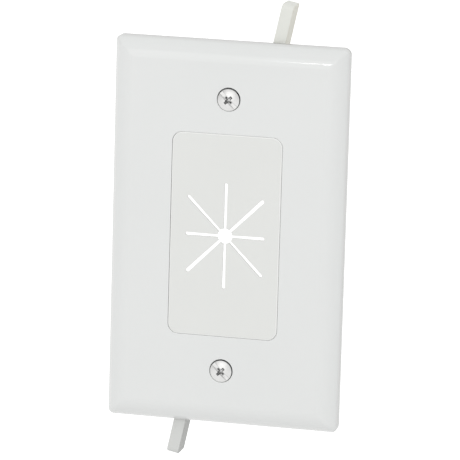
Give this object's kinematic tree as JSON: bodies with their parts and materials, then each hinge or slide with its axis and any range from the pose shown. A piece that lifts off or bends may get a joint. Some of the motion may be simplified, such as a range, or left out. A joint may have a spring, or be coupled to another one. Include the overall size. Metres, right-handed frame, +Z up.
{
  "type": "cable pass-through wall plate",
  "caption": "Bevelled wall plate with a flush rubber insert slit like a star for cables to pass through, and captive screws that swing and draw clamp wings behind the wall.",
  "frame": {"origin": "middle of the plate's back rim, in the plane of the wall's front surface", "axes": "+Z up along the long side, +Y into the wall, +X to the right of someone who faces the plate"},
  "size_m": [0.0698, 0.0405, 0.1374],
  "materials": {
    "plate_plastic": "smooth glossy white moulding",
    "insert_rubber": "matt white soft rubber",
    "plated_steel": "bright nickel plate",
    "wing_plastic": "satin white moulding"
  },
  "bodies": {
    "plate": {"face_plate": "plate_plastic", "flexible_insert": "insert_rubber"},
    "upper_screw": {"upper_screw": "plated_steel"},
    "upper_wing": {"upper_wing": "wing_plastic"},
    "lower_screw": {"lower_screw": "plated_steel"},
    "lower_wing": {"lower_wing": "wing_plastic"}
  },
  "joints": [
    {"name": "upper_swing", "type": "hinge", "parent": "plate", "child": "upper_screw", "pos_m": [0, 0, 0.0405], "axis": [0, -1, 0], "range_deg": [0, 191.5]},
    {"name": "upper_draw", "type": "slide", "parent": "upper_screw", "child": "upper_wing", "axis": [0, 1, 0], "range_m": [0, 0.024]},
    {"name": "lower_swing", "type": "hinge", "parent": "plate", "child": "lower_screw", "pos_m": [0, 0, -0.0405], "axis": [0, -1, 0], "range_deg": [0, 191.5]},
    {"name": "lower_draw", "type": "slide", "parent": "lower_screw", "child": "lower_wing", "axis": [0, 1, 0], "range_m": [0, 0.024]}
  ]
}
